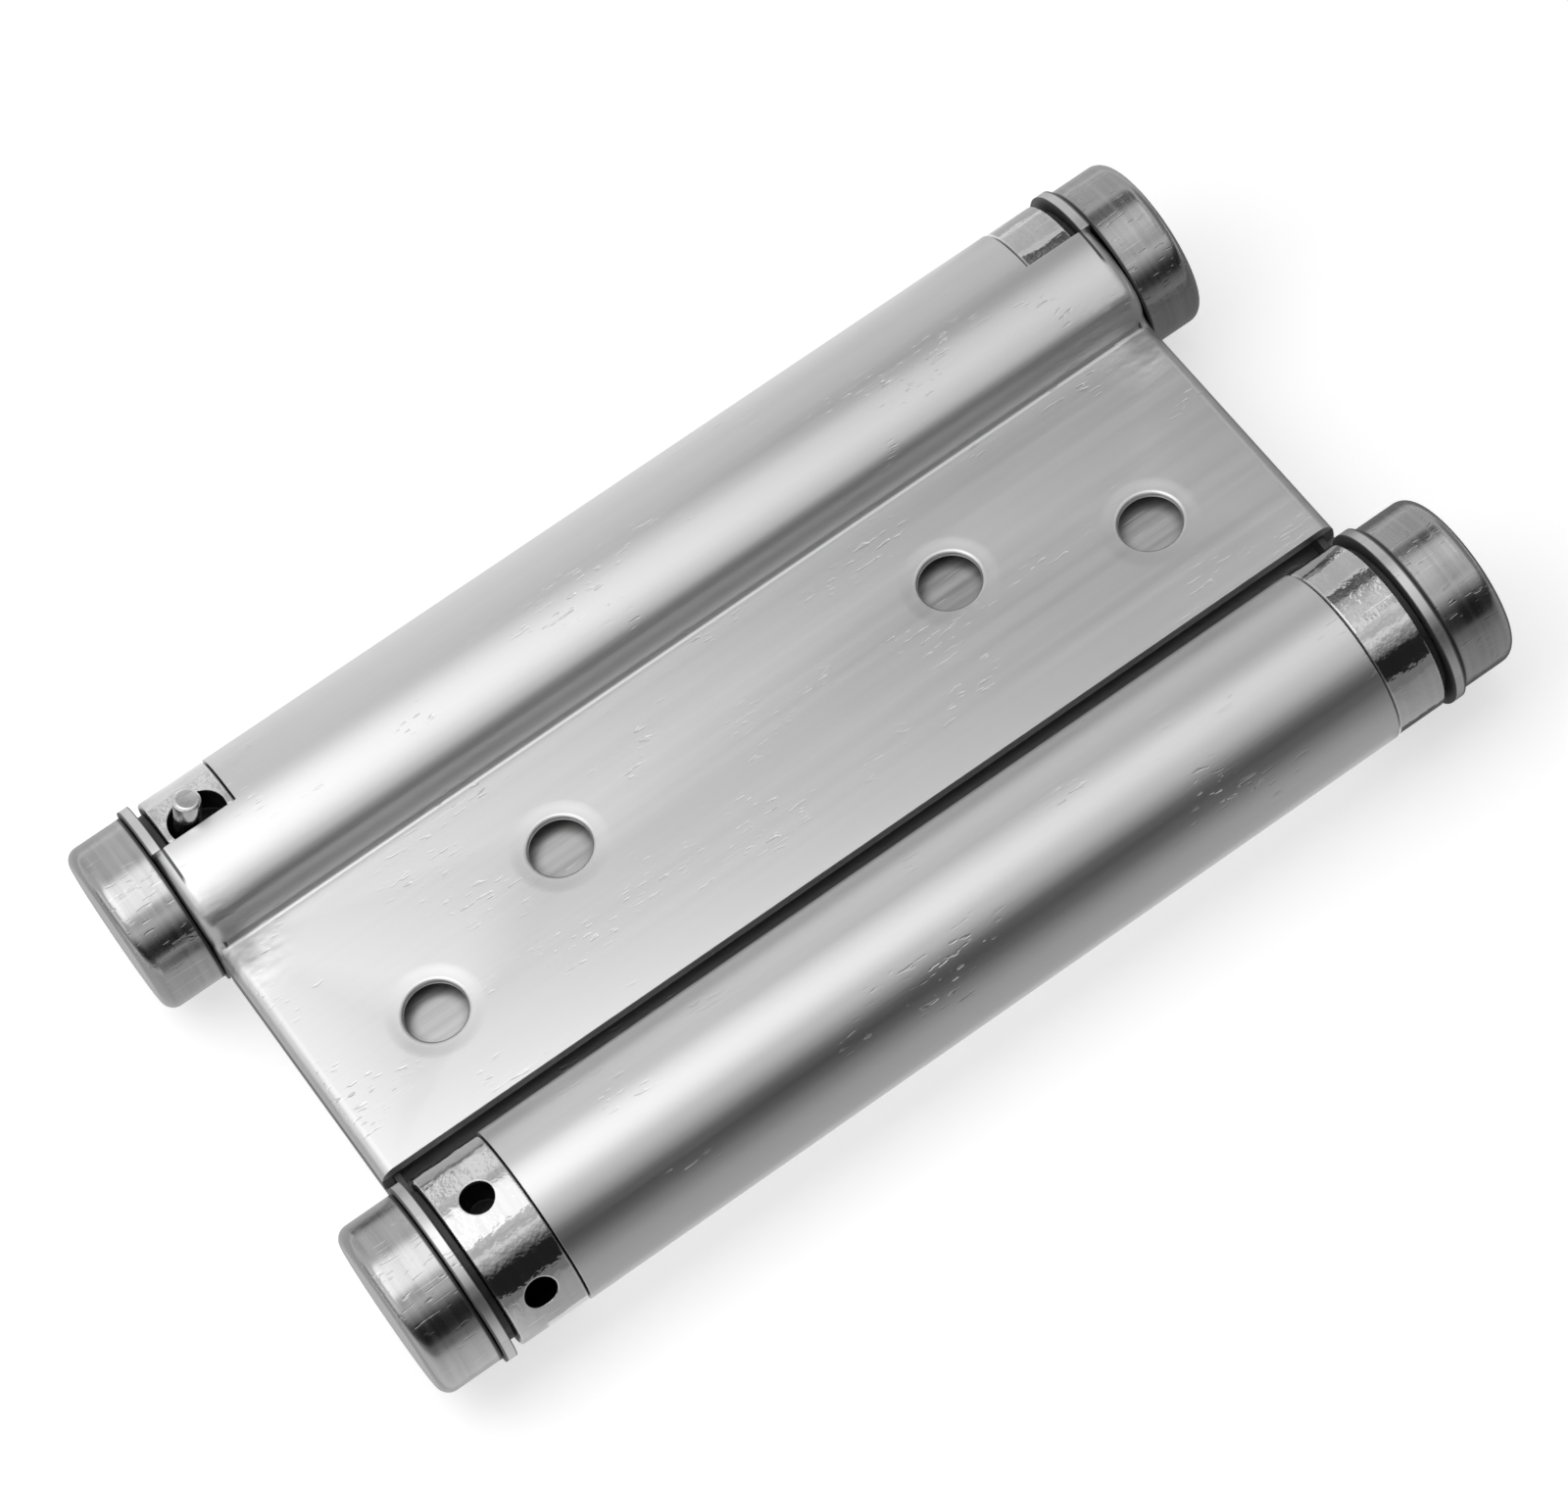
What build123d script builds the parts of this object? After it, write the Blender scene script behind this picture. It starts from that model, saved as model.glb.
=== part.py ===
from build123d import *
from math import atan2, cos, degrees, radians, sin, sqrt
import os

# Double-action spring hinge, closed. The barrels run along X, the leaves lie flat, Z is up.
# Half A is built in place; half B is the same set of pieces turned half a turn about X.

# Driving sizes, in millimetres
leaf_length = 100.0  # over the outer faces of the end cheeks
axis_spacing = 45.5  # between the two barrel axes
sheet = 1.05  # thickness of the pressed leaf
tube_radius = 8.45  # outside of the rolled barrel
crown_start = 65.0  # angle on the barrel where the sheet leaves the circle for the hood
crown_radius = 11.0  # flat crown of the hood
shoulder_start = 119.0  # angle where the crown turns over into the shoulder
shoulder_radius = 4.4  # shoulder of the hood, down to the groove
groove_radius = 0.5  # inside corner between leaf flat and barrel
leaf_top = 2.5  # upper face of the leaf above the mid-plane
free_edge = 12.8  # distance of the free edge beyond the mid-plane
seam_angle = -158.0  # where the rolled edge ends, under the leaf
end_bend = 1.5  # outside radius where the leaf turns down into its cheeks
cheek_foot = 0.1  # lower edge of the cheeks above the mid-plane
ring_rim = 0.3  # how far the rings of the cheeks stand out from the barrel
hood_edge = -0.6  # edge of the hood, just past the top of the barrel
adjust_notch = 8.8  # barrel end at the adjusting collar, from the outer face of the cheek
fixed_notch = 6.9  # barrel end at the fixed collar, from the outer face of the cheek

screw_hole = 5.7
countersink = 8.6
outer_pair = 75.6
inner_pair = 41.4
outer_row = -2.65
inner_row = 3.75
die_roll = 0.4  # rounding of the hole rims on the face side
hole_land = 0.15  # straight part of the holes between rim and countersink

web_thickness = 1.4
web_half_width = 11.5
ear_thickness = 0.62
ear_radius = 7.4
ear_waist = 1.1  # half height of the bar between the two ear discs

spindle_radius = 3.0
spindle_neck = 2.3
spindle_flat = 2.4  # half width over the two flats that key the ears
spindle_neck_length = 4.0
neck_chamfer = 0.3

collar_relief = 0.1  # how far the collars lie below the barrel
collar_boss = 3.0  # length of the plug inside the barrel
collar_break = 0.15  # broken edge of the collars
tommy_hole = 3.1
tommy_depth = 3.6
pin_well = 5.6
pin_well_depth = 3.4
pin_well_angle = 88.0
tommy_step = 70.0
pin_diameter = 2.5
pin_length = 6.9
pin_lean = 14.0
pin_foot_height = 4.0
pin_foot_inset = 1.7  # foot of the pin from the middle of its well, towards the cheek
pin_offset = 0.95
pin_break = 0.22

wire_height = 2.0  # spring wire, measured outwards from the axis
wire_width = 3.4  # spring wire, measured along the axis
coil_clearance = 0.9  # between spring and barrel, room for the coil to work
coil_turns = 13.5
tang_length = 1.8
tang_clearance = 0.1
drive_pin_diameter = 1.6
drive_pin_inset = 1.4  # from the barrel end into the plug

cap_relief = 0.45  # how far the caps lie inside the rings
cap_length = 5.85
cap_wall = 1.0
cap_round = 1.3
cap_boss = 3.6

# Named clearances
turn_clearance = 0.05  # running fits, on the radius
seat_clearance = 0.02  # pieces driven home
hood_clearance = 0.07
ear_clearance = 0.08
face_clearance = 0.15

half_length = leaf_length / 2
axis_y = axis_spacing / 2
ring_radius = tube_radius + ring_rim
collar_radius = tube_radius - collar_relief
cap_radius = ring_radius - cap_relief
adjust_end = half_length - adjust_notch
fixed_end = half_length - fixed_notch
ring_face = half_length - sheet
ear_outer = ring_face - ear_clearance
ear_inner = ear_outer - ear_thickness
collar_face = ear_inner - ear_clearance
cap_face = half_length + face_clearance
bore_radius = spindle_radius + turn_clearance
well_x = -(collar_face + adjust_end + face_clearance) / 2
head_length = collar_face - adjust_end - face_clearance
fixed_head_length = collar_face - fixed_end - face_clearance
plug_radius = tube_radius - sheet - turn_clearance
coil_radius = tube_radius - sheet - coil_clearance - wire_height / 2
coil_start = collar_face - head_length - collar_boss - face_clearance
coil_end = collar_face - fixed_head_length - collar_boss - face_clearance
coil_tip = wire_width / 2 + 2 * face_clearance
coil_pitch = (coil_start + coil_end - 2 * coil_tip) / coil_turns
tang_slot = coil_tip + face_clearance + tang_length + tang_clearance


def polar(radius, angle, centre=(0, 0)):
    return (
        centre[0] + radius * cos(radians(angle)),
        centre[1] + radius * sin(radians(angle)),
    )


# Hood section beside the barrel axis: crown, shoulder and groove run into each other smoothly
crown_centre = polar(tube_radius - crown_radius, crown_start)
shoulder_centre = polar(crown_radius - shoulder_radius, shoulder_start, crown_centre)
groove_height = leaf_top + groove_radius
groove_drop = groove_height - shoulder_centre[1]
groove_shift = sqrt((shoulder_radius + groove_radius) ** 2 - groove_drop**2)
groove_reach = groove_shift - shoulder_centre[0]
groove_angle = degrees(atan2(groove_drop, -groove_shift)) % 360


def on_axis(x=0.0):
    # Section plane across barrel A: local X runs outwards along Y, local Y runs up
    return Plane(origin=(x, axis_y, 0), x_dir=(0, 1, 0), z_dir=(1, 0, 0))


def collar_wall_plane(angle, x):
    # Plane that touches the collar at one angle, facing outwards
    out = (0, cos(radians(angle)), sin(radians(angle)))
    origin = (x, axis_y + collar_radius * out[1], collar_radius * out[2])
    return Plane(origin=origin, x_dir=(1, 0, 0), z_dir=out)


def tang_plane(place):
    # Section plane across a tang, squared to the axis at the angle where the coil ends
    out = Vector(0, place.Y - axis_y, place.Z)
    return Plane(origin=place, x_dir=out, z_dir=(1, 0, 0))


pin_foot_plane = Plane(
    origin=(well_x - pin_foot_inset, axis_y + pin_offset, pin_foot_height),
    x_dir=(0, 1, 0),
    z_dir=(sin(radians(pin_lean)), 0, cos(radians(pin_lean))),
)
drive_pin_plane = Plane(
    origin=(fixed_end - drive_pin_inset, axis_y, 0), x_dir=(1, 0, 0), z_dir=(0, 1, 0)
)


def leaf_outline(barrel=True):
    # Face side of the sheet, from the free edge over the groove and round the barrel
    Line((-axis_y - free_edge, leaf_top), (-groove_reach, leaf_top))
    CenterArc((-groove_reach, groove_height), groove_radius, 270, groove_angle - 90)
    CenterArc(shoulder_centre, shoulder_radius, groove_angle, shoulder_start - groove_angle)
    CenterArc(crown_centre, crown_radius, shoulder_start, crown_start - shoulder_start)
    if barrel:
        CenterArc((0, 0), tube_radius, crown_start, seam_angle - crown_start)


# Shape punched through the leaf at each screw: rolled rim above, countersink below
with BuildPart() as screw_cutter:
    with BuildSketch(Plane.XZ):
        with BuildLine():
            hole = screw_hole / 2
            Line((0, 0), (hole + die_roll, 0))
            CenterArc((hole + die_roll, -die_roll), die_roll, 90, 90)
            Line((hole, -die_roll), (hole, -die_roll - hole_land))
            Line((hole, -die_roll - hole_land), (countersink / 2, -sheet))
            Line((countersink / 2, -sheet), (0, -sheet))
            Line((0, -sheet), (0, 0))
        make_face()
    revolve(axis=Axis.Z)


# Leaf A, one pressed sheet: flat, groove, rolled barrel, hoods, end cheeks and rings
with BuildPart() as leaf_a:
    with BuildSketch(on_axis(end_bend - half_length)) as section:
        with BuildLine():
            leaf_outline()
            offset(amount=sheet, side=Side.RIGHT)
        make_face()
    extrude(amount=2 * (half_length - end_bend))
    for end, barrel_end in ((-1, adjust_end), (1, fixed_end)):
        # The ends of the sheet turn down with one bend that follows flat, groove and hood
        with BuildLine(on_axis(end * (half_length - end_bend))) as bend_path:
            leaf_outline(barrel=False)
        bend_corner = Plane(
            origin=(end * (half_length - end_bend), -free_edge, leaf_top),
            x_dir=(end, 0, 0),
            z_dir=(0, end, 0),
        )
        with BuildSketch(bend_corner) as bend_profile:
            with BuildLine():
                leg_end = end_bend + groove_radius
                CenterArc((0, end_bend), end_bend, -90, 90)
                Polyline(
                    (end_bend, end_bend), (end_bend, leg_end),
                    (end_bend - sheet, leg_end), (end_bend - sheet, end_bend),
                )
                CenterArc((0, end_bend), end_bend - sheet, 0, -90)
                Line((0, sheet), (0, 0))
            make_face()
        sweep(path=bend_path.wire())
        # The barrel is cut back, so that only the hood runs on over the collars
        notch = half_length - barrel_end
        middle = end * (half_length + barrel_end) / 2
        with Locations((middle, axis_y + hood_edge, 0)):
            Box(
                notch, 2 * crown_radius, 4 * crown_radius, mode=Mode.SUBTRACT,
                align=(Align.CENTER, Align.MIN, Align.CENTER),
            )
        with Locations((middle, axis_y, 0)):
            Box(
                notch, 2 * ring_radius, 2 * crown_radius, mode=Mode.SUBTRACT,
                align=(Align.CENTER, Align.CENTER, Align.MAX),
            )
        with BuildSketch(on_axis(end * barrel_end)):
            Circle(collar_radius + hood_clearance)
        extrude(amount=end * (collar_face + ear_clearance - barrel_end), mode=Mode.SUBTRACT)
        # The cheek follows the leaf and ends in a full ring round the spindle
        with BuildSketch(on_axis(end * half_length)):
            Circle(ring_radius)
            with Locations((hood_edge, cheek_foot)):
                Rectangle(
                    2 * ring_radius, ring_radius, mode=Mode.SUBTRACT, align=(Align.MAX, Align.MIN)
                )
            with BuildLine():
                under_crown = CenterArc(
                    crown_centre, crown_radius - end_bend, crown_start, shoulder_start - crown_start
                )
                under_shoulder = CenterArc(
                    shoulder_centre, shoulder_radius - end_bend, shoulder_start,
                    groove_angle - shoulder_start,
                )
                Polyline(under_shoulder @ 1, (0, cheek_foot), under_crown @ 0)
            make_face()
            with Locations((-axis_y - free_edge, cheek_foot)):
                Rectangle(
                    axis_y + free_edge, leaf_top - end_bend - cheek_foot, align=(Align.MIN, Align.MIN)
                )
        extrude(amount=-end * sheet)
    with BuildSketch(on_axis(-half_length)):
        Circle(bore_radius)
    extrude(amount=leaf_length, mode=Mode.SUBTRACT)
    # Screw holes, countersunk from below, with rims drawn in on the face side
    with Locations(
        (-outer_pair / 2, outer_row, leaf_top),
        (outer_pair / 2, outer_row, leaf_top),
        (-inner_pair / 2, inner_row, leaf_top),
        (inner_pair / 2, inner_row, leaf_top),
    ):
        add(screw_cutter.part, mode=Mode.SUBTRACT)
    leaf_a.part.label = "leaf_a"


# Web between the leaves, with an ear at each end that is keyed on both spindles
with BuildPart() as web:
    with BuildSketch(Plane.XY.offset(-web_thickness / 2)):
        Rectangle(2 * ear_outer, 2 * web_half_width)
    extrude(amount=web_thickness)
    for end in (-1, 1):
        with BuildSketch(Plane.YZ.offset(end * ear_outer)):
            with Locations((-axis_y, 0), (axis_y, 0)):
                Circle(ear_radius)
            Rectangle(axis_spacing, 2 * ear_waist)
        extrude(amount=-end * ear_thickness)
        with BuildSketch(Plane.YZ.offset(end * ear_outer)) as keyhole:
            with Locations((-axis_y, 0), (axis_y, 0)):
                Circle(spindle_radius + seat_clearance)
            for side in (-1, 1):
                with Locations((0, side * (spindle_flat + seat_clearance))):
                    Rectangle(
                        2 * axis_spacing, spindle_radius, mode=Mode.SUBTRACT,
                        align=(Align.CENTER, Align.MIN if side > 0 else Align.MAX),
                    )
        extrude(amount=-end * ear_thickness, mode=Mode.SUBTRACT)
    web.part.label = "web"

# Spindle A: a rod with two flats at each end and a neck for each cap
with BuildPart() as spindle_a:
    with BuildSketch(on_axis(-cap_face)):
        Circle(spindle_radius)
    extrude(amount=2 * cap_face)
    for end in (-1, 1):
        with BuildSketch(on_axis(end * cap_face)):
            for side in (-1, 1):
                with Locations((0, side * spindle_flat)):
                    Rectangle(
                        2 * spindle_radius, spindle_radius,
                        align=(Align.CENTER, Align.MIN if side > 0 else Align.MAX),
                    )
        extrude(amount=-end * (cap_face - ear_inner), mode=Mode.SUBTRACT)
        with BuildSketch(on_axis(end * cap_face)):
            Circle(spindle_neck)
        extrude(amount=end * spindle_neck_length)
    tips = spindle_a.edges().filter_by(GeomType.CIRCLE).sort_by(Axis.X)
    chamfer((tips[0], tips[-1]), neck_chamfer)
    with BuildSketch(drive_pin_plane):
        Circle(drive_pin_diameter / 2 + seat_clearance)
    extrude(amount=spindle_radius, both=True, mode=Mode.SUBTRACT)
    spindle_a.part.label = "spindle_a"

# Torsion spring of flat wire, with a straight tang at each end for the collars
with BuildPart() as spring_a:
    with BuildLine() as coil:
        Helix(
            coil_pitch, coil_pitch * coil_turns, coil_radius,
            center=(coil_tip - coil_start, axis_y, 0), direction=(1, 0, 0),
        )
    with BuildSketch(Plane(origin=coil.line @ 0, x_dir=(1, 0, 0), z_dir=coil.line % 0)):
        Rectangle(wire_width, wire_height)
    sweep(path=coil.line, is_frenet=True)
    for place, run in ((coil.line @ 0, -1), (coil.line @ 1, 1)):
        with BuildSketch(tang_plane(place)):
            Rectangle(wire_height, wire_height)
        extrude(amount=run * (coil_tip + face_clearance + tang_length))
    spring_a.part.label = "spring_a"

# Adjusting collar: flush head with tommy-bar holes and a well for the tension pin,
# and a plug inside the barrel with the slot that holds the spring
with BuildPart() as adjusting_collar_a:
    with BuildSketch(on_axis(-collar_face)):
        Circle(collar_radius)
    extrude(amount=head_length)
    head_rims = adjusting_collar_a.edges().filter_by(GeomType.CIRCLE)
    chamfer(head_rims, collar_break)
    with BuildSketch(on_axis(-collar_face)):
        Circle(plug_radius)
    extrude(amount=head_length + collar_boss)
    with BuildSketch(on_axis(-collar_face)):
        Circle(bore_radius)
    extrude(amount=head_length + collar_boss, mode=Mode.SUBTRACT)
    with BuildSketch(collar_wall_plane(pin_well_angle, well_x)):
        Circle(pin_well / 2)
    extrude(amount=-pin_well_depth, mode=Mode.SUBTRACT)
    for step in (-1, 0, 1):
        angle = pin_well_angle + 180 + step * tommy_step
        with BuildSketch(collar_wall_plane(angle, well_x)):
            Circle(tommy_hole / 2)
        extrude(amount=-tommy_depth, mode=Mode.SUBTRACT)
    with BuildSketch(pin_foot_plane):
        Circle(pin_diameter / 2 + seat_clearance)
    extrude(amount=pin_length, mode=Mode.SUBTRACT)
    with BuildSketch(tang_plane(coil.line @ 0)):
        Rectangle(wire_height + 2 * tang_clearance, wire_height + 2 * tang_clearance)
    extrude(amount=-tang_slot, mode=Mode.SUBTRACT)
    adjusting_collar_a.part.label = "adjusting_collar_a"

# Tension pin, standing in its well against the edge of the hood
with BuildPart() as tension_pin_a:
    with BuildSketch(pin_foot_plane):
        Circle(pin_diameter / 2)
    extrude(amount=pin_length)
    pin_rims = tension_pin_a.edges().filter_by(GeomType.CIRCLE)
    chamfer(pin_rims, pin_break)
    tension_pin_a.part.label = "tension_pin_a"

# Fixed collar: plain flush head, pinned to the spindle, with the other spring slot
with BuildPart() as fixed_collar_a:
    with BuildSketch(on_axis(collar_face)):
        Circle(collar_radius)
    extrude(amount=-fixed_head_length)
    chamfer(fixed_collar_a.edges().filter_by(GeomType.CIRCLE), collar_break)
    with BuildSketch(on_axis(collar_face)):
        Circle(plug_radius)
    extrude(amount=-fixed_head_length - collar_boss)
    with BuildSketch(on_axis(collar_face)):
        Circle(spindle_radius + seat_clearance)
    extrude(amount=-fixed_head_length - collar_boss, mode=Mode.SUBTRACT)
    with BuildSketch(drive_pin_plane):
        Circle(drive_pin_diameter / 2 + seat_clearance)
    extrude(amount=collar_radius, both=True, mode=Mode.SUBTRACT)
    with BuildSketch(tang_plane(coil.line @ 1)):
        Rectangle(wire_height + 2 * tang_clearance, wire_height + 2 * tang_clearance)
    extrude(amount=tang_slot, mode=Mode.SUBTRACT)
    fixed_collar_a.part.label = "fixed_collar_a"

# Drive pin through the plug of the fixed collar and the spindle, hidden by the barrel
with BuildPart() as drive_pin_a:
    with BuildSketch(drive_pin_plane):
        Circle(drive_pin_diameter / 2)
    extrude(amount=plug_radius - face_clearance, both=True)
    chamfer(drive_pin_a.edges().filter_by(GeomType.CIRCLE), collar_break)
    drive_pin_a.part.label = "drive_pin_a"

# Cap: turned cup with a rounded end, driven onto the neck of the spindle
with BuildPart() as cap_a_left:
    with BuildSketch(Plane(origin=(-cap_face, axis_y, 0), x_dir=(-1, 0, 0), z_dir=(0, 0, 1))):
        Rectangle(cap_length, cap_radius, align=(Align.MIN, Align.MIN))
        with Locations((0, cap_boss)):
            Rectangle(
                cap_length - cap_wall, cap_radius - cap_wall - cap_boss, mode=Mode.SUBTRACT,
                align=(Align.MIN, Align.MIN),
            )
        Rectangle(
            spindle_neck_length + seat_clearance, spindle_neck + seat_clearance, mode=Mode.SUBTRACT,
            align=(Align.MIN, Align.MIN),
        )
    revolve(axis=Axis((0, axis_y, 0), (1, 0, 0)))
    outer = cap_a_left.edges().filter_by(GeomType.CIRCLE).sort_by(SortBy.RADIUS)
    fillet(outer.group_by(SortBy.RADIUS)[-1].sort_by(Axis.X)[0], cap_round)
    cap_a_left.part.label = "cap_a_left"

with BuildPart() as cap_a_right:
    add(cap_a_left.part.mirror(Plane.YZ))
    cap_a_right.part.label = "cap_a_right"

half_a = (
    leaf_a, spindle_a, adjusting_collar_a, tension_pin_a, fixed_collar_a,
    drive_pin_a, spring_a, cap_a_left, cap_a_right,
)

os.makedirs("parts", exist_ok=True)
export_step(web.part, "parts/web.step")
for piece in half_a:
    export_step(piece.part, f"parts/{piece.part.label}.step")
    # Half B is half A turned half a turn about the long centre line
    with BuildPart() as turned:
        add(piece.part.rotate(Axis.X, 180))
        turned.part.label = piece.part.label.replace("_a", "_b")
    export_step(turned.part, f"parts/{turned.part.label}.step")
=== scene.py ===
from math import cos, radians, sin

import bpy
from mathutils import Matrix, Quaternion, Vector


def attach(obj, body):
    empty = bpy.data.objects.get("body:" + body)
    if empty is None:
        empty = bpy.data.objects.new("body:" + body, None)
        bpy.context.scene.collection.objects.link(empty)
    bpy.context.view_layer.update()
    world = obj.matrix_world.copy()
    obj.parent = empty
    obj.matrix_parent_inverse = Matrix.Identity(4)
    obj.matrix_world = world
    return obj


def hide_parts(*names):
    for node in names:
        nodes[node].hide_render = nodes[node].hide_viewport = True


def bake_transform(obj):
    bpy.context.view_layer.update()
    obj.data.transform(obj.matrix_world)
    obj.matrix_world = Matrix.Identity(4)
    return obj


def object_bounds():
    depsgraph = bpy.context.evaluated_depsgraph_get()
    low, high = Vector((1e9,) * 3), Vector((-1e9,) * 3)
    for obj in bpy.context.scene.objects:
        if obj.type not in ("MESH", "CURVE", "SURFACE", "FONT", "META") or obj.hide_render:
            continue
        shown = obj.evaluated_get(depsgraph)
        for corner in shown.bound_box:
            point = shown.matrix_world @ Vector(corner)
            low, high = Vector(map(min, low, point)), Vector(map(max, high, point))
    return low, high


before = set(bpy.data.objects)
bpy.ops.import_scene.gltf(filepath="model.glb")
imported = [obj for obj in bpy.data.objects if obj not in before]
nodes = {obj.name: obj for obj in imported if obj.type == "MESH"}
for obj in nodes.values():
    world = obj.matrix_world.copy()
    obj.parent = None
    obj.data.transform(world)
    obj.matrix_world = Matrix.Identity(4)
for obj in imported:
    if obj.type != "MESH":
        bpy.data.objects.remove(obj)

MM = 0.001

# Places on the hinge, in millimetres and degrees
BARREL_Y = 22.75  # barrel axes from the mid-plane
PINCH = (48.2, 12.6)  # where the groove runs into the end bend of leaf A
SCREWS = ((37.8, -2.65), (20.7, 3.75))  # screw holes of leaf A, one of each pair

# The rolled edge of each leaf, which scene.py carries on round the barrel
SEAM_ANGLE = -158  # where the rolled edge of the solids ends
ROLL_ON = 27  # how much farther the sheet is rolled
ROLL_STEPS = 9
SHEET_REACH = (7.3, 8.5)  # the edge face lies between these distances from the barrel's axis
FACES_THE_SEAM = 0.999  # least agreement of a face's normal with the edge's
WELD = 0.002
SMOOTH_BELOW = 25
SORT_FROM = (317, 113, 71)  # no two faces lie equally far from here

# The part of each noise's range that is spread out over its effect
BROAD_SPAN = (0.25, 0.75)
CLOUD_SPAN = (0.3, 0.7)
SCRATCH_SPAN = (0.66, 0.74)
NICK_SPAN = (0.62, 0.72)
PATCH_LEVEL, PATCH_EDGE = 0.78, 6.0  # where patches of scratches begin, and how sharply

# How much the clouds, scratches and dark places take part, next to streaks and brush lines
CLOUD_TONE, CLOUD_DULL = 0.6, 0.5
SCRATCH_CUT = 1.2
DULL_WHERE_DARK = 0.3

# Relief round the screw holes and at the pinched tips of the groove, in millimetres
DISH_SPAN = (3.1, 4.6)
PINCH_SPAN = (5.5, 0.5)
RELIEF_UNIT = 0.01

solids_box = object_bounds()


# Small helpers for building node trees

def add_node(tree, kind, **settings):
    node = tree.nodes.new(kind)
    for name, value in settings.items():
        setattr(node, name, value)
    return node


def feed(tree, source, target):
    tree.links.new(source, target)


def give(tree, socket, value):
    """A socket takes another node's output, or a plain value."""
    if hasattr(value, "is_output"):
        feed(tree, value, socket)
    else:
        socket.default_value = value


def math_node(tree, operation, first, second=None, clamp=False):
    node = add_node(tree, "ShaderNodeMath", operation=operation, use_clamp=clamp)
    give(tree, node.inputs[0], first)
    if second is not None:
        give(tree, node.inputs[1], second)
    return node.outputs[0]


def remap(tree, value, low, high, to_low, to_high, smooth=False):
    node = add_node(tree, "ShaderNodeMapRange")
    node.interpolation_type = "SMOOTHSTEP" if smooth else "LINEAR"
    feed(tree, value, node.inputs["Value"])
    node.inputs["From Min"].default_value = low
    node.inputs["From Max"].default_value = high
    node.inputs["To Min"].default_value = to_low
    node.inputs["To Max"].default_value = to_high
    return node.outputs["Result"]


def mask_of(tree, value, span, unit=1.0):
    """0 before the span and 1 after it, with soft ends."""
    return remap(tree, value, span[0] * unit, span[1] * unit, 0.0, 1.0, True)


def length_of(tree, first, second):
    """Distance from two legs at right angles."""
    squares = math_node(tree, "ADD", math_node(tree, "MULTIPLY", first, first),
                        math_node(tree, "MULTIPLY", second, second))
    return math_node(tree, "SQRT", squares)


def noise_of(tree, vector, detail, rough=0.5):
    noise = add_node(tree, "ShaderNodeTexNoise")
    feed(tree, vector, noise.inputs["Vector"])
    noise.inputs["Scale"].default_value = 1.0
    noise.inputs["Detail"].default_value = detail
    noise.inputs["Roughness"].default_value = rough
    return noise.outputs["Fac"]


def stretched_noise(tree, position, scale, detail, rough, shift):
    mapping = add_node(tree, "ShaderNodeMapping")
    feed(tree, position, mapping.inputs["Vector"])
    mapping.inputs["Scale"].default_value = scale
    mapping.inputs["Location"].default_value = (shift, shift * 0.7, shift * 1.3)
    return noise_of(tree, mapping.outputs["Vector"], detail, rough)


def new_group(name, inputs, outputs):
    tree = bpy.data.node_groups.new(name, "ShaderNodeTree")
    for label, kind, value in inputs:
        socket = tree.interface.new_socket(label, in_out="INPUT", socket_type=kind)
        if value is not None:
            socket.default_value = value
    for label in outputs:
        tree.interface.new_socket(label, in_out="OUTPUT", socket_type="NodeSocketFloat")
    return tree, add_node(tree, "NodeGroupInput"), add_node(tree, "NodeGroupOutput")


def use_group(tree, group, **values):
    node = add_node(tree, "ShaderNodeGroup")
    node.node_tree = group
    for name, value in values.items():
        give(tree, node.inputs[name.replace("_", " ").capitalize()], value)
    return node


def new_material(name):
    """An empty material, its tree, and the socket that its surface comes from."""
    made = bpy.data.materials.new(name)
    made.use_nodes = True
    tree = made.node_tree
    tree.nodes.clear()
    return made, tree, add_node(tree, "ShaderNodeOutputMaterial").inputs["Surface"]


def seen_directly(tree):
    """1 for the rays of the camera, of reflections and of transmission, 0 for the rest."""
    path = add_node(tree, "ShaderNodeLightPath")
    seen = math_node(tree, "MAXIMUM", path.outputs["Is Camera Ray"], path.outputs["Is Glossy Ray"])
    return math_node(tree, "MAXIMUM", seen, path.outputs["Is Transmission Ray"])


# Effects that several finishes share

def make_brush_lines():
    """Fine lines left by the belt or the lathe, in a direction set by the two scales."""
    tree, given, result = new_group(
        "brush lines",
        (("Position", "NodeSocketVector", None),
         ("Line scale", "NodeSocketVector", (60, 9000, 9000)),
         ("Coarse scale", "NodeSocketVector", (12, 1500, 1500))),
        ("Lines", "Streaks"),
    )
    for scale, detail, out in (("Line scale", 3.0, "Lines"), ("Coarse scale", 2.0, "Streaks")):
        stretch = add_node(tree, "ShaderNodeVectorMath", operation="MULTIPLY")
        feed(tree, given.outputs["Position"], stretch.inputs[0])
        feed(tree, given.outputs[scale], stretch.inputs[1])
        feed(tree, noise_of(tree, stretch.outputs[0], detail), result.inputs[out])
    return tree


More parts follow.
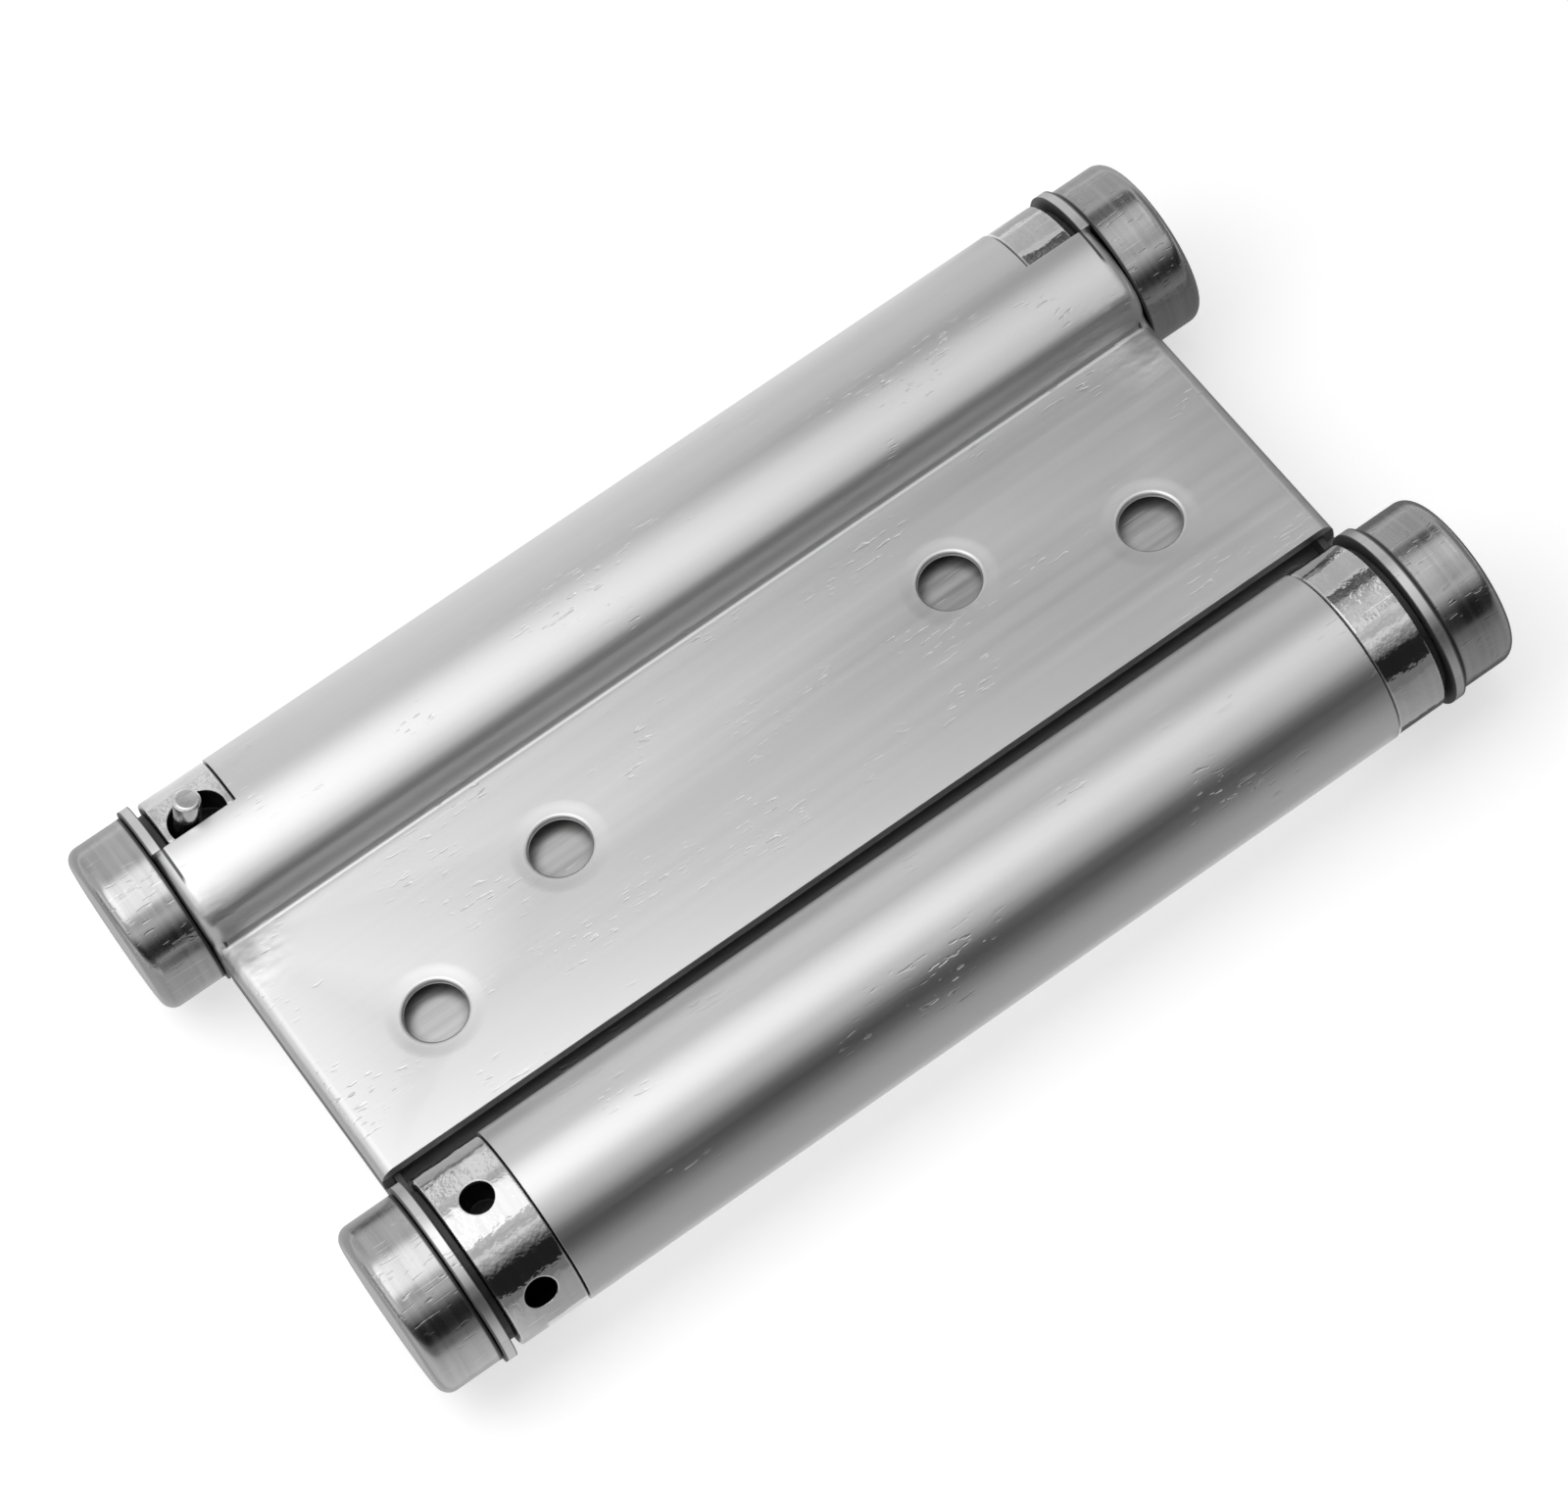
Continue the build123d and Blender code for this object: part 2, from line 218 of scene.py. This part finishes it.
def make_handling_marks():
    """Sparse short scratches and nicks along the work, and soft clouds where hands have been."""
    tree, given, result = new_group(
        "handling marks",
        (("Position", "NodeSocketVector", None), ("Scratch cover", "NodeSocketFloat", 0.3)),
        ("Scratches", "Clouds", "Nicks"),
    )
    position = given.outputs["Position"]
    fine = stretched_noise(tree, position, (170, 4200, 4200), 1.0, 0.5, 4.0)
    patches = stretched_noise(tree, position, (90, 150, 150), 2.0, 0.6, 9.0)
    small = stretched_noise(tree, position, (620, 2900, 2900), 1.0, 0.5, 13.0)
    clouds = stretched_noise(tree, position, (38, 70, 70), 3.0, 0.55, 2.0)
    level = math_node(tree, "SUBTRACT", PATCH_LEVEL, given.outputs["Scratch cover"])
    above = math_node(tree, "SUBTRACT", patches, level)
    cover = math_node(tree, "MULTIPLY", above, PATCH_EDGE, True)
    for noise, span, out in ((fine, SCRATCH_SPAN, "Scratches"), (small, NICK_SPAN, "Nicks")):
        marks = math_node(tree, "MULTIPLY", mask_of(tree, noise, span), cover)
        feed(tree, marks, result.inputs[out])
    feed(tree, clouds, result.inputs["Clouds"])
    return tree


def make_edge_rub_and_highlight():
    """Bright rub where the rounded normal leaves the true one, so only along edges: edge wear, and on
    the collar's hole rims also painted highlight.
    """
    tree, given, result = new_group(
        "edge rub and highlight",
        (("Rounded", "NodeSocketVector", None), ("True", "NodeSocketVector", None),
         ("Clouds", "NodeSocketFloat", 0.5), ("Width", "NodeSocketFloat", 0.12)),
        ("Rub",),
    )
    dot = add_node(tree, "ShaderNodeVectorMath", operation="DOT_PRODUCT")
    feed(tree, given.outputs["Rounded"], dot.inputs[0])
    feed(tree, given.outputs["True"], dot.inputs[1])
    turned = math_node(tree, "SUBTRACT", 1.0, dot.outputs["Value"])
    edge = math_node(tree, "DIVIDE", turned, given.outputs["Width"], True)
    patchy = remap(tree, given.outputs["Clouds"], *CLOUD_SPAN, 0.55, 1.0)
    feed(tree, math_node(tree, "MULTIPLY", edge, patchy), result.inputs["Rub"])
    return tree


def make_places():
    """Where a point lies: from the nearer barrel's axis, from the nearest screw, and so on."""
    tree, given, result = new_group(
        "places on the hinge",
        (("Position", "NodeSocketVector", None),),
        ("From barrel", "From screw", "From middle", "Height", "From pinch"),
    )
    parts = add_node(tree, "ShaderNodeSeparateXYZ")
    feed(tree, given.outputs["Position"], parts.inputs[0])
    x, y, z = parts.outputs
    along = math_node(tree, "ABSOLUTE", x)
    across = math_node(tree, "SUBTRACT", math_node(tree, "ABSOLUTE", y), BARREL_Y * MM)
    # Leaf B is leaf A turned over, so its places are found with the sign of the height
    turned = math_node(tree, "MULTIPLY", y, math_node(tree, "SIGN", z))

    def reach_of(place_x, place_y):
        return length_of(tree, math_node(tree, "SUBTRACT", along, place_x * MM),
                         math_node(tree, "SUBTRACT", turned, place_y * MM))

    nearest = math_node(tree, "MINIMUM", reach_of(*SCREWS[0]), reach_of(*SCREWS[1]))
    feed(tree, length_of(tree, across, z), result.inputs["From barrel"])
    feed(tree, nearest, result.inputs["From screw"])
    feed(tree, reach_of(*PINCH), result.inputs["From pinch"])
    feed(tree, along, result.inputs["From middle"])
    feed(tree, math_node(tree, "ABSOLUTE", z), result.inputs["Height"])
    return tree


BRUSH_LINES = make_brush_lines()
HANDLING_MARKS = make_handling_marks()
EDGE_RUB_AND_HIGHLIGHT = make_edge_rub_and_highlight()
PLACES = make_places()


def painted_shade_of(tree, places, painted_shade_places):
    """The strongest painted shade of the dark places at a point, each the product of its soft limits.
    """
    dark = None
    for limits, strength in painted_shade_places:
        mask = None
        for place, low, high in limits:
            part = mask_of(tree, places.outputs[place], (low, high), MM)
            mask = part if mask is None else math_node(tree, "MULTIPLY", mask, part)
        mask = math_node(tree, "MULTIPLY", mask, strength)
        dark = mask if dark is None else math_node(tree, "MAXIMUM", dark, mask)
    return dark


def metal(name, tone, roughness, line_scale, coarse_scale, line_depth=0.5, tone_swing=0.08,
          rough_swing=0.08, scratch_cover=0.3, scratch_tone=0.25, edge_width=0.15,
          rub_and_highlight_tone=0.2, waviness=0.0, wave_scale=300.0, painted_shade_places=(), hole_dish=0.0,
          nick_depth=0.0, pinch_depth=0.0):
    """One metal finish: lines, streaks, marks, rubbed edges (wear, and painted highlight on the
    collar's rims), and painted shade in the dark places, all from the place on the piece.
    """
    made, tree, surface = new_material(name)
    shader = add_node(tree, "ShaderNodeBsdfPrincipled")
    shader.inputs["Metallic"].default_value = 1.0
    feed(tree, shader.outputs["BSDF"], surface)
    position = add_node(tree, "ShaderNodeTexCoord").outputs["Object"]
    lines = use_group(tree, BRUSH_LINES, position=position, line_scale=line_scale,
                      coarse_scale=coarse_scale)
    marks = use_group(tree, HANDLING_MARKS, position=position, scratch_cover=scratch_cover)
    rounded = add_node(tree, "ShaderNodeBevel", samples=4)
    rounded.inputs["Radius"].default_value = edge_width * MM
    true_normal = add_node(tree, "ShaderNodeNewGeometry").outputs["Normal"]
    places = use_group(tree, PLACES, position=position)
    rub = use_group(tree, EDGE_RUB_AND_HIGHLIGHT, rounded=rounded.outputs["Normal"], true=true_normal,
                    clouds=marks.outputs["Clouds"])
    streaks, clouds = lines.outputs["Streaks"], marks.outputs["Clouds"]
    dark = painted_shade_of(tree, places, painted_shade_places)

    # Tone: streaks and clouds shade it a little, scratches and rubbed edges lift it, the rub as wear
    # and as painted highlight, and the dark places darken it with painted shade
    streak = remap(tree, streaks, *BROAD_SPAN, -tone_swing, tone_swing)
    cloud = remap(tree, clouds, *BROAD_SPAN, -tone_swing * CLOUD_TONE, tone_swing * CLOUD_TONE)
    shade = math_node(tree, "ADD", math_node(tree, "ADD", streak, cloud), tone)
    lift = math_node(tree, "MULTIPLY", marks.outputs["Scratches"], scratch_tone)
    lift = math_node(tree, "ADD", lift, math_node(tree, "MULTIPLY", rub.outputs["Rub"], rub_and_highlight_tone))
    shade = math_node(tree, "ADD", shade, lift, True)
    # Painted shade: the tone is darkened in the dark places
    if dark is not None:
        shade = math_node(tree, "MULTIPLY", shade, math_node(tree, "SUBTRACT", 1.0, dark))
    colour = add_node(tree, "ShaderNodeCombineColor")
    for channel in colour.inputs:
        feed(tree, shade, channel)
    feed(tree, colour.outputs["Color"], shader.inputs["Base Color"])

    # Gloss: it changes with the streaks and clouds, and is duller in the dark places
    dull = remap(tree, streaks, *BROAD_SPAN, -rough_swing, rough_swing)
    cloud = remap(tree, clouds, *CLOUD_SPAN, -rough_swing * CLOUD_DULL, rough_swing * CLOUD_DULL)
    dull = math_node(tree, "ADD", dull, cloud)
    if dark is not None:
        dull = math_node(tree, "ADD", dull, math_node(tree, "MULTIPLY", dark, DULL_WHERE_DARK))
    feed(tree, math_node(tree, "ADD", dull, roughness, True), shader.inputs["Roughness"])

    # Relief: brush lines, cut by scratches and nicks
    height = math_node(tree, "MULTIPLY", lines.outputs["Lines"], line_depth)
    for mark, depth in (("Scratches", SCRATCH_CUT * line_depth), ("Nicks", nick_depth)):
        cut = math_node(tree, "MULTIPLY", marks.outputs[mark], depth)
        height = math_node(tree, "SUBTRACT", height, cut)
    # Slow waves where a finish has orange peel
    if waviness:
        waves = stretched_noise(tree, position, (wave_scale,) * 3, 3.0, 0.6, 6.0)
        height = math_node(tree, "ADD", height, math_node(tree, "MULTIPLY", waves, waviness))
    # The dish that the punch leaves round each screw hole
    if hole_dish:
        dish = mask_of(tree, places.outputs["From screw"], DISH_SPAN, MM)
        height = math_node(tree, "ADD", height, math_node(tree, "MULTIPLY", dish, hole_dish))
    # Crinkles where the groove is pinched into the end bend
    if pinch_depth:
        near = mask_of(tree, places.outputs["From pinch"], PINCH_SPAN, MM)
        crinkle = stretched_noise(tree, position, (330, 520, 520), 2.0, 0.55, 21.0)
        crinkle = math_node(tree, "MULTIPLY", math_node(tree, "MULTIPLY", crinkle, near), pinch_depth)
        height = math_node(tree, "ADD", height, crinkle)
    bump = add_node(tree, "ShaderNodeBump")
    bump.inputs["Strength"].default_value = 1.0
    bump.inputs["Distance"].default_value = RELIEF_UNIT * MM
    feed(tree, height, bump.inputs["Height"])
    feed(tree, rounded.outputs["Normal"], bump.inputs["Normal"])
    feed(tree, bump.outputs["Normal"], shader.inputs["Normal"])
    return made


# Finishes of the pieces, brushed along the hinge or turned round its axis

ALONG = dict(line_scale=(90, 7000, 7000), coarse_scale=(14, 1100, 1100))
AROUND = dict(line_scale=(9000, 160, 160), coarse_scale=(1500, 50, 50))

# Painted shade in hollows, seams, under the leaves and at the pinched tip, where the gloss is duller
# too: each has its limits (place, from none, to full, in mm) and strength
INSIDE_COLLAR = ((("From barrel", 8.14, 7.9),), 0.94)
INSIDE_BARREL = ((("From barrel", 7.6, 7.4),), 0.7)
BETWEEN_LEAVES = ((("Height", 1.5, 1.42), ("From barrel", 8.7, 8.9)), 0.6)
RING_SEAM = ((("From middle", 49.75, 49.92), ("From barrel", 9.3, 9.1)), 0.75)
RING_BACK = ((("From middle", 49.1, 48.98), ("From barrel", 9.3, 9.1),
              ("From middle", 48.7, 48.8)), 0.8)
CAP_SEAM = ((("From middle", 50.55, 50.3),), 0.85)
UNDER_HOLES = ((("From screw", 1.6, 3.2), ("From screw", 7.5, 3.5)), 0.42)
PINCH_SHADE = ((("From pinch", 2.4, 0.6),), 0.3)
EAR_RIM = ((("From middle", 48.0, 48.2),), 0.8)

satin_sheet = metal(
    "satin brushed sheet", 0.65, 0.37, line_depth=0.25, tone_swing=0.016, rough_swing=0.025,
    scratch_cover=0.24, scratch_tone=0.05, hole_dish=6.0, nick_depth=4.0, pinch_depth=22.0,
    painted_shade_places=(INSIDE_BARREL, BETWEEN_LEAVES, RING_SEAM, RING_BACK, PINCH_SHADE), **ALONG)
turned_cap = metal(
    "turned cap steel", 0.44, 0.22, line_depth=0.3, tone_swing=0.05, rough_swing=0.05,
    scratch_cover=0.42, scratch_tone=0.1, nick_depth=1.5, painted_shade_places=(CAP_SEAM,), **AROUND)
# The collar's stronger rub is painted highlight on the rims of its holes, besides wear
polished_collar = metal(
    "polished collar", 0.6, 0.08, line_depth=0.04, tone_swing=0.03, rough_swing=0.03,
    waviness=6.5, wave_scale=560.0, edge_width=0.2, rub_and_highlight_tone=0.35,
    painted_shade_places=(INSIDE_COLLAR,), **AROUND)
rolled_web = metal(
    "rolled web strip", 0.5, 0.36, line_depth=0.8, tone_swing=0.1, scratch_cover=0.4,
    scratch_tone=0.15, painted_shade_places=(EAR_RIM, UNDER_HOLES), **ALONG)
drawn_spindle = metal("drawn spindle rod", 0.5, 0.22, line_depth=0.3, **ALONG)
cut_pin = metal(
    "cropped pin wire", 0.7, 0.25, line_depth=0.3, tone_swing=0.12, edge_width=0.25,
    rub_and_highlight_tone=0.3, waviness=2.0, wave_scale=1500.0, **ALONG)
spring_wire = metal("oiled spring wire", 0.16, 0.35, line_depth=0.3, **AROUND)

# Which finish a node takes, by the first word of its name
FINISH = {
    "leaf": satin_sheet,
    "web": rolled_web,
    "spindle": drawn_spindle,
    "spring": spring_wire,
    "adjusting": polished_collar,
    "fixed": polished_collar,
    "tension": cut_pin,
    "drive": cut_pin,
    "cap": turned_cap,
}


def set_material(thing, material):
    thing.data.materials.clear()
    thing.data.materials.append(material)


for name, piece in nodes.items():
    set_material(piece, FINISH[name.split("_")[0]])


# Pieces that stand for a CAD node: the leaves with a closed seam, and the springs

def copy_of_node(name, new_name, material):
    piece = bpy.data.objects.new(new_name, nodes[name].data.copy())
    bpy.context.scene.collection.objects.link(piece)
    set_material(piece, material)
    return piece


def roll_seam_shut(name, body, axis_y, facing):
    """The pressed leaf, its rolled edge carried on round the barrel up to the leaf's underside."""
    leaf = copy_of_node(name, name + "_rolled", satin_sheet)
    bpy.ops.object.select_all(action="DESELECT")
    bpy.context.view_layer.objects.active = leaf
    leaf.select_set(True)
    bpy.ops.object.mode_set(mode="EDIT")
    bpy.ops.mesh.select_mode(type="FACE")
    bpy.ops.mesh.select_all(action="SELECT")
    bpy.ops.mesh.customdata_custom_splitnormals_clear()
    bpy.ops.mesh.remove_doubles(threshold=WELD * MM)
    bpy.ops.mesh.select_all(action="DESELECT")
    bpy.ops.object.mode_set(mode="OBJECT")
    seam = radians(SEAM_ANGLE)
    edge_normal = Vector((0, sin(seam), -cos(seam))) * facing
    nearest, farthest = (reach * MM for reach in SHEET_REACH)
    for face in leaf.data.polygons:
        reach = Vector((face.center.y - axis_y * MM, face.center.z)).length
        on_seam = face.normal.dot(edge_normal) > FACES_THE_SEAM
        face.select = on_seam and nearest < reach < farthest
    bpy.ops.object.mode_set(mode="EDIT")
    bpy.ops.mesh.spin(steps=ROLL_STEPS, angle=radians(ROLL_ON), center=(0, axis_y * MM, 0),
                      axis=(1, 0, 0))
    # The spin adds its faces in no fixed order, so all are put in one, from a point to one side
    bpy.context.scene.cursor.location = Vector(SORT_FROM) * MM
    bpy.ops.mesh.select_all(action="SELECT")
    bpy.ops.mesh.sort_elements(type="CURSOR_DISTANCE", elements={"VERT", "EDGE", "FACE"})
    bpy.ops.object.mode_set(mode="OBJECT")
    bpy.ops.object.shade_smooth_by_angle(angle=radians(SMOOTH_BELOW))
    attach(leaf, body)
    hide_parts(name)


def wind_spring(name):
    """The torsion spring, copied in place from its node, which is hidden."""
    spring = copy_of_node(name, name + "_wound", spring_wire)
    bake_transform(spring)
    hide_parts(name)


roll_seam_shut("leaf_a", "door_leaf", BARREL_Y, 1)
roll_seam_shut("leaf_b", "jamb_leaf", -BARREL_Y, -1)
wind_spring("spring_a")
wind_spring("spring_b")


# Studio: a white floor, a lamp panel, and cards that only the metal sees

def flat_card(name, xs, ys, zs, faces_down=False):
    """An upright or level rectangle, by its spans in millimetres, of which one is one value."""
    if not isinstance(zs, tuple):
        corners = [(xs[0], ys[0], zs), (xs[1], ys[0], zs), (xs[1], ys[1], zs), (xs[0], ys[1], zs)]
    elif not isinstance(ys, tuple):
        corners = [(xs[0], ys, zs[0]), (xs[1], ys, zs[0]), (xs[1], ys, zs[1]), (xs[0], ys, zs[1])]
    else:
        corners = [(xs, ys[0], zs[0]), (xs, ys[1], zs[0]), (xs, ys[1], zs[1]), (xs, ys[0], zs[1])]
    if faces_down:
        corners = [corners[0]] + corners[:0:-1]
    mesh = bpy.data.meshes.new(name)
    mesh.from_pydata([tuple(v * MM for v in corner) for corner in corners], [], [(0, 1, 2, 3)])
    card = bpy.data.objects.new(name, mesh)
    bpy.context.scene.collection.objects.link(card)
    return card


def glow(name, strength, ramps):
    """Emission that follows ramps over the card: (direction, start mm, end mm, low, high)."""
    made, tree, surface = new_material(name)
    shader = add_node(tree, "ShaderNodeEmission")
    feed(tree, shader.outputs["Emission"], surface)
    if not ramps:
        shader.inputs["Strength"].default_value = strength
        return made
    place = add_node(tree, "ShaderNodeTexCoord").outputs["Object"]
    level = strength
    for direction, start, end, low, high in ramps:
        along = add_node(tree, "ShaderNodeVectorMath", operation="DOT_PRODUCT")
        feed(tree, place, along.inputs[0])
        along.inputs[1].default_value = direction
        ramp = remap(tree, along.outputs["Value"], start * MM, end * MM, low, high)
        level = math_node(tree, "MULTIPLY", ramp, level)
    feed(tree, level, shader.inputs["Strength"])
    return made


def show_to_metal_alone(card):
    card.visible_camera = False
    card.visible_diffuse = False
    card.visible_shadow = False


FLOOR_REACH = 3000
PAPER_TONE = 0.85
PAPER_LIFT = 0.5  # added to what the camera and the reflections see of the floor

floor = flat_card("floor", (-FLOOR_REACH, FLOOR_REACH), (-FLOOR_REACH, FLOOR_REACH),
                  solids_box[0][2] / MM)
paper, tree, surface = new_material("white paper floor")
matt = add_node(tree, "ShaderNodeBsdfDiffuse")
matt.inputs["Color"].default_value = (PAPER_TONE, PAPER_TONE, PAPER_TONE, 1)
lifted = add_node(tree, "ShaderNodeEmission")
feed(tree, math_node(tree, "MULTIPLY", seen_directly(tree), PAPER_LIFT), lifted.inputs["Strength"])
both = add_node(tree, "ShaderNodeAddShader")
feed(tree, matt.outputs[0], both.inputs[0])
feed(tree, lifted.outputs[0], both.inputs[1])
feed(tree, both.outputs[0], surface)
floor.data.materials.append(paper)

X, Y, Z, SLANT = (1, 0, 0), (0, 1, 0), (0, 0, 1), (1, 1, 0)

# Lamp panel above the hinge, brightest to the left, fading to the right and at the back,
# and a strip to its right that only the metal sees
panel = flat_card("lamp panel", (-240, 190), (-73, 135), 210, faces_down=True)
panel.data.materials.append(glow("lamp panel glow", 1.55, (
    ((1, 0.4, 0), 0, 180, 1.0, 0.14), (Y, 100, 135, 1.0, 0.5), (X, -240, -200, 0.2, 1.0),
    (X, -46, -38, 1.35, 1.0), (SLANT, 113, 218, 1.0, 0.5))))
panel.visible_camera = False
panel.visible_shadow = False
strip = flat_card("right lamp strip", (100, 170), (-60, 90), 207, faces_down=True)
strip.data.materials.append(glow("right strip glow", 1.25, (
    (Y, -60, -30, 0.5, 1.0), (Y, 60, 90, 1.0, 0.45), (X, 100, 112, 0.4, 1.0))))
show_to_metal_alone(strip)

# Cards that only the metal sees: name, glow, spans, strength and ramps.
# The low ones lie just above the floor and are darker than it: painted shade of the floor near the
# hinge, which only the metal reflects
LOW = -10.6
WIDE = (-400, 400)
SIDE_Y, SIDE_Z = (-110, 200), (-10, 205)
CARDS = (
    ("front dark card", "front card glow", WIDE, -110, (12, 240), 1.0,
     ((Z, 62, 140, 0.02, 1.02), (Z, 145, 170, 1.0, 0.65))),
    ("back dark card", "back card glow", (-260, 260), (140, 190), 214, 1.0,
     ((X, -60, 110, 0.8, 0.12),)),
    ("back wall card", "back wall glow", (-300, 900), 500, (-10.9, 420), 1.1,
     ((X, 0, 190, 1.0, 0.58), (X, -30, -5, 0.6, 1.0))),
    ("front sill card", "front sill glow", WIDE, -109, (LOW, 12), 0.24, ()),
    ("front floor card", "front floor glow", WIDE, (-109, -32), LOW, 1.0,
     ((Y, -110, -32, 0.34, 0.52), (X, 46, 52, 1.0, 0.8), (X, -50, -44, 1.7, 1.0))),
    ("left floor card", "left floor glow", (-140, -45), (-32, 40), LOW, 0.6, ()),
    ("right floor card", "right floor glow", (45, 140), (-32, 40), LOW, 1.0,
     ((Y, -32, 0, 0.12, 0.22),)),
    ("rear floor card", "rear floor glow", WIDE, (40, 130), LOW, 1.0,
     ((X, -50, -44, 0.6, 1.0), (X, 46, 52, 1.0, 0.6))),
    ("left card", "left card glow", -330, SIDE_Y, SIDE_Z, 1.0, ((Z, 40, 150, 0.3, 1.3),)),
    ("right card", "right card glow", 330, SIDE_Y, SIDE_Z, 0.28, ()),
)
for name, glow_name, xs, ys, zs, strength, ramps in CARDS:
    card = flat_card(name, xs, ys, zs)
    card.data.materials.append(glow(glow_name, strength, ramps))
    show_to_metal_alone(card)

# White to the camera and in reflections, dimmer as light, so that the shadow stays
WORLD_AS_LIGHT, WORLD_AS_SEEN = 0.55, 1.0
world = bpy.data.worlds.new("white studio")
bpy.context.scene.world = world
world.use_nodes = True
tree = world.node_tree
tree.nodes.clear()
out = add_node(tree, "ShaderNodeOutputWorld")
sky = add_node(tree, "ShaderNodeBackground")
feed(tree, remap(tree, seen_directly(tree), 0.0, 1.0, WORLD_AS_LIGHT, WORLD_AS_SEEN),
     sky.inputs["Strength"])
feed(tree, sky.outputs[0], out.inputs["Surface"])

# Camera, at the photograph's viewing angle
CAMERA_AT = (-74.288, -229.906, 423.875)
CAMERA_AIM = (0.646, 1.004, 0.0)
CAMERA_ROLL = -18.603

camera_data = bpy.data.cameras.new("camera")
camera_data.sensor_width = 36.0
camera_data.sensor_fit = "HORIZONTAL"
camera_data.lens = 128.94
camera = bpy.data.objects.new("camera", camera_data)
bpy.context.scene.collection.objects.link(camera)
camera.location = Vector(CAMERA_AT) * MM
turn = (Vector(CAMERA_AIM) * MM - camera.location).to_track_quat("-Z", "Y")
camera.rotation_mode = "QUATERNION"
camera.rotation_quaternion = turn @ Quaternion((0, 0, 1), radians(CAMERA_ROLL))
bpy.context.scene.camera = camera

bpy.context.scene.view_settings.view_transform = "Standard"
